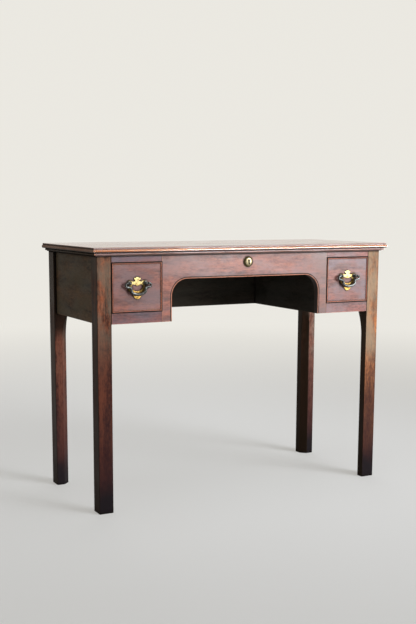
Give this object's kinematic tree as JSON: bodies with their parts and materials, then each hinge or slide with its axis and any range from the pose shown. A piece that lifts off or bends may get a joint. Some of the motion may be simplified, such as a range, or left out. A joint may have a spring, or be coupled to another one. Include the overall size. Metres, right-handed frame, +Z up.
{
  "type": "lowboy",
  "caption": "Mahogany lowboy: kneehole side table on square chamfered legs, with an arched frieze between drawers, swan-neck handles and a rising moulded top.",
  "frame": {"origin": "on the floor, under the middle of the top board", "axes": "+X to the right of someone facing the drawers, +Y to the back, +Z up"},
  "size_m": [1, 0.424, 0.76],
  "materials": {
    "leg_wood": "waxed old mahogany",
    "front_wood": "waxed old mahogany, faded",
    "bead_wood": "waxed old mahogany, rubbed",
    "top_wood": "polished old mahogany",
    "side_wood": "dull old mahogany",
    "inner_wood": "dark unpolished wood",
    "lining_wood": "dry oak",
    "plate_brass": "worn brass",
    "bail_brass": "tarnished brass",
    "iron": "dark iron"
  },
  "bodies": {
    "carcass": {"front_left_leg": "leg_wood", "front_right_leg": "leg_wood", "rear_left_leg": "leg_wood", "rear_right_leg": "leg_wood", "frieze_board": "front_wood", "left_top_rail": "front_wood", "right_top_rail": "front_wood", "left_bottom_rail": "front_wood", "right_bottom_rail": "front_wood", "front_moulding": "bead_wood", "left_moulding": "bead_wood", "right_moulding": "bead_wood", "left_side_panel": "side_wood", "right_side_panel": "side_wood", "back_panel": "inner_wood", "left_kneehole_board": "inner_wood", "right_kneehole_board": "inner_wood", "well_floor": "inner_wood", "left_dust_board": "inner_wood", "right_dust_board": "inner_wood", "left_outer_runner": "lining_wood", "right_outer_runner": "lining_wood", "left_inner_runner": "lining_wood", "right_inner_runner": "lining_wood", "glue_blocks": "lining_wood", "drawer_stops": "lining_wood", "escutcheon": "plate_brass", "escutcheon_pins": "plate_brass", "lock_case": "plate_brass", "lower_hinge_leaves": "plate_brass", "hinge_pins": "iron", "lower_hinge_screws": "iron", "lock_screws": "iron"},
    "left_drawer": {"left_drawer_front": "front_wood", "left_outer_drawer_side": "lining_wood", "left_inner_drawer_side": "lining_wood", "left_drawer_back": "lining_wood", "left_drawer_bottom": "lining_wood", "left_cockbead": "bead_wood", "left_handle_plate": "plate_brass", "left_handle_posts": "bail_brass", "left_handle_nuts": "bail_brass"},
    "right_drawer": {"right_drawer_front": "front_wood", "right_outer_drawer_side": "lining_wood", "right_inner_drawer_side": "lining_wood", "right_drawer_back": "lining_wood", "right_drawer_bottom": "lining_wood", "right_cockbead": "bead_wood", "right_handle_plate": "plate_brass", "right_handle_posts": "bail_brass", "right_handle_nuts": "bail_brass"},
    "left_bail_handle": {"left_bail": "bail_brass"},
    "right_bail_handle": {"right_bail": "bail_brass"},
    "top": {"top_board": "top_wood", "upper_hinge_leaves": "plate_brass", "upper_hinge_screws": "iron", "link_plate": "plate_brass", "link_plate_screws": "iron"},
    "bolt": {"lock_bolt": "iron"}
  },
  "joints": [
    {"name": "left_drawer_slide", "type": "slide", "parent": "carcass", "child": "left_drawer", "axis": [0, -1, 0], "range_m": [0, 0.29]},
    {"name": "right_drawer_slide", "type": "slide", "parent": "carcass", "child": "right_drawer", "axis": [0, -1, 0], "range_m": [0, 0.29]},
    {"name": "left_bail_swing", "type": "hinge", "parent": "left_drawer", "child": "left_bail_handle", "pos_m": [-0.3608, -0.2045, 0.65875], "axis": [-1, 0, 0], "range_deg": [0, 100]},
    {"name": "right_bail_swing", "type": "hinge", "parent": "right_drawer", "child": "right_bail_handle", "pos_m": [0.3608, -0.2045, 0.65875], "axis": [-1, 0, 0], "range_deg": [0, 100]},
    {"name": "top_rise", "type": "hinge", "parent": "carcass", "child": "top", "pos_m": [0, 0.2055, 0.745], "axis": [-1, 0, 0], "range_deg": [0, 100]},
    {"name": "bolt_throw", "type": "slide", "parent": "carcass", "child": "bolt", "axis": [1, 0, 0], "range_m": [0, 0.005]}
  ]
}
